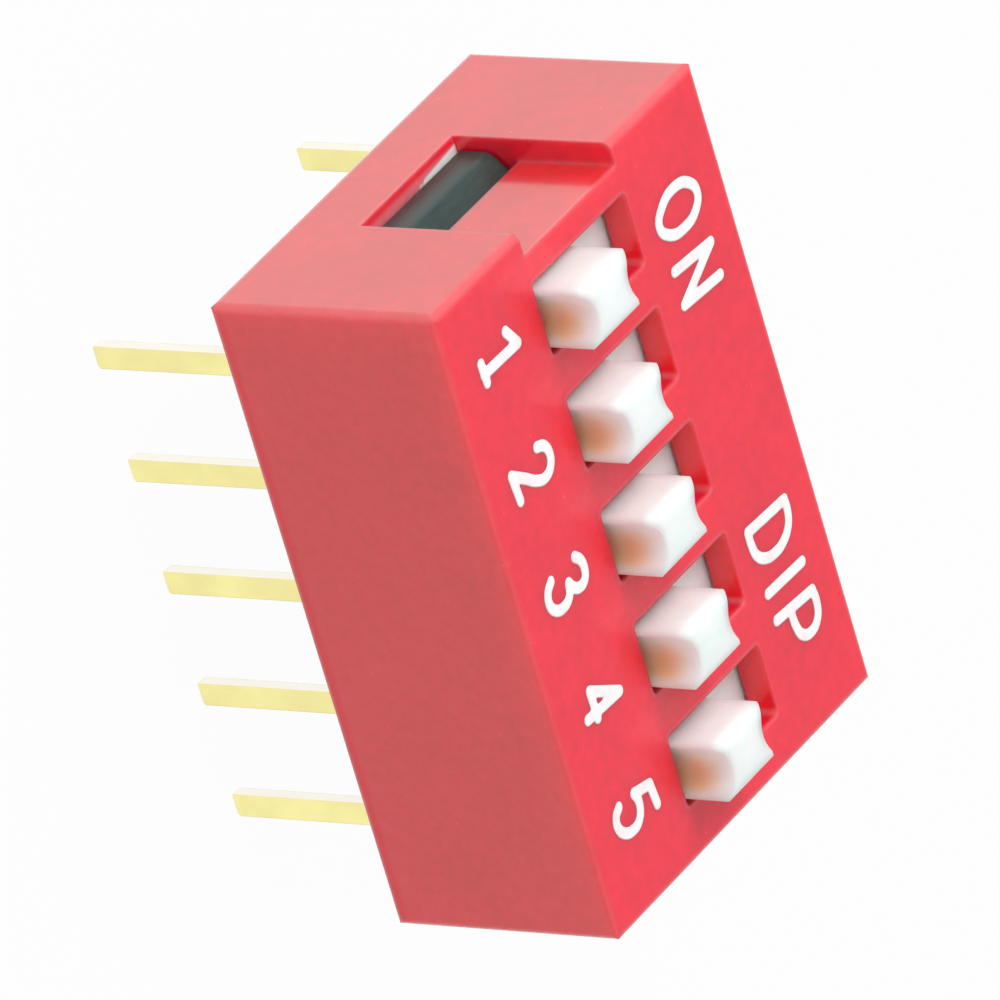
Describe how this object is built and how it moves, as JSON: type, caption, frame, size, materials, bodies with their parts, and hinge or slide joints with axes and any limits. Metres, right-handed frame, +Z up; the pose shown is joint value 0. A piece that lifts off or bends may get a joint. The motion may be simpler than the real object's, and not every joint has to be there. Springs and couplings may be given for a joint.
{
  "type": "dip switch",
  "caption": "Slide-type DIP switch: moulded cover with a row of slotted slide knobs, a latched base with straight board pins along both sides, and a sliding spring contact under each knob.",
  "frame": {"origin": "centre of the seating plane, the lower rim of the cover, midway between the two rows of pins", "axes": "+X along the row of knobs from position 1 to the last, +Y from OFF to ON, +Z up towards the knobs"},
  "size_m": [0.014, 0.0098, 0.0102],
  "materials": {
    "cover": "satin red moulding",
    "base": "black moulding",
    "seal": "black potting",
    "lead": "pale gold plate",
    "slider": "satin white moulding",
    "spring": "rolled bronze strip",
    "ink": "white pad-printed ink"
  },
  "bodies": {
    "housing": {"cover": "cover", "base": "base", "bottom_seal": "seal", "terminal_1": "lead", "terminal_2": "lead", "terminal_3": "lead", "terminal_4": "lead", "terminal_5": "lead", "terminal_6": "lead", "terminal_7": "lead", "terminal_8": "lead", "terminal_9": "lead", "terminal_10": "lead"},
    "switch_1": {"slider_1": "slider", "spring_contact_1": "spring"},
    "switch_2": {"slider_2": "slider", "spring_contact_2": "spring"},
    "switch_3": {"slider_3": "slider", "spring_contact_3": "spring"},
    "switch_4": {"slider_4": "slider", "spring_contact_4": "spring"},
    "switch_5": {"slider_5": "slider", "spring_contact_5": "spring"}
  },
  "joints": [
    {"name": "slide_1", "type": "slide", "parent": "housing", "child": "switch_1", "axis": [0, 1, 0], "range_m": [0, 0.0017]},
    {"name": "slide_2", "type": "slide", "parent": "housing", "child": "switch_2", "axis": [0, 1, 0], "range_m": [0, 0.0017]},
    {"name": "slide_3", "type": "slide", "parent": "housing", "child": "switch_3", "axis": [0, 1, 0], "range_m": [0, 0.0017]},
    {"name": "slide_4", "type": "slide", "parent": "housing", "child": "switch_4", "axis": [0, 1, 0], "range_m": [0, 0.0017]},
    {"name": "slide_5", "type": "slide", "parent": "housing", "child": "switch_5", "axis": [0, 1, 0], "range_m": [0, 0.0017]}
  ]
}
